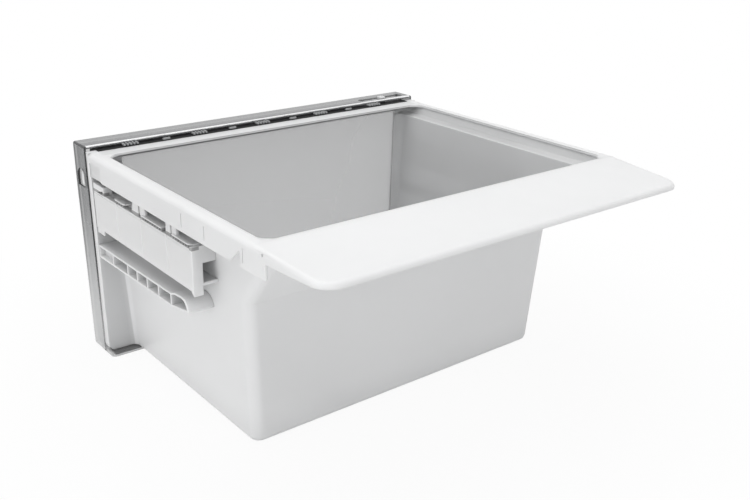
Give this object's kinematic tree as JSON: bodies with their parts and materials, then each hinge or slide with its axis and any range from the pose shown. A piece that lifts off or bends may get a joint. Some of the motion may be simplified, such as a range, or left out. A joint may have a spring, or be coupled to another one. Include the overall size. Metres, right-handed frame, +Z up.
{
  "type": "crisper drawer",
  "caption": "Refrigerator crisper drawer: a deep stepped bin with a see-through front cover, a sliding top air vent, a rear lip and side runner rails.",
  "frame": {"origin": "middle of the drawer in width and depth, on the surface it stands on", "axes": "+Z up; -Y towards the front cover; +X to the right seen from the front"},
  "size_m": [0.384, 0.3874, 0.2062],
  "materials": {
    "bin_plastic": "smooth, lightly glossy",
    "cover_plastic": "smoked, see-through, polished",
    "pane_plastic": "tinted, see-through, polished",
    "trim_metal": "bright",
    "vent_plastic": "fine matte",
    "shutter_plastic": "fine matte",
    "tab_plastic": "smooth",
    "rail_plastic": "smooth, lightly glossy"
  },
  "bodies": {
    "drawer": {"crisper_bin": "bin_plastic", "front_cover": "cover_plastic", "inner_window": "pane_plastic", "top_trim": "trim_metal", "vent_grille": "vent_plastic", "side_bracket_right": "rail_plastic", "side_bracket_left": "rail_plastic", "runner_rail_right": "rail_plastic", "runner_rail_left": "rail_plastic"},
    "vent_slide": {"vent_shutter": "shutter_plastic", "slider_tab": "tab_plastic"}
  },
  "joints": [
    {"name": "vent_slide_travel", "type": "slide", "parent": "drawer", "child": "vent_slide", "axis": [1, 0, 0], "range_m": [-0.0175, 0.0175]}
  ]
}
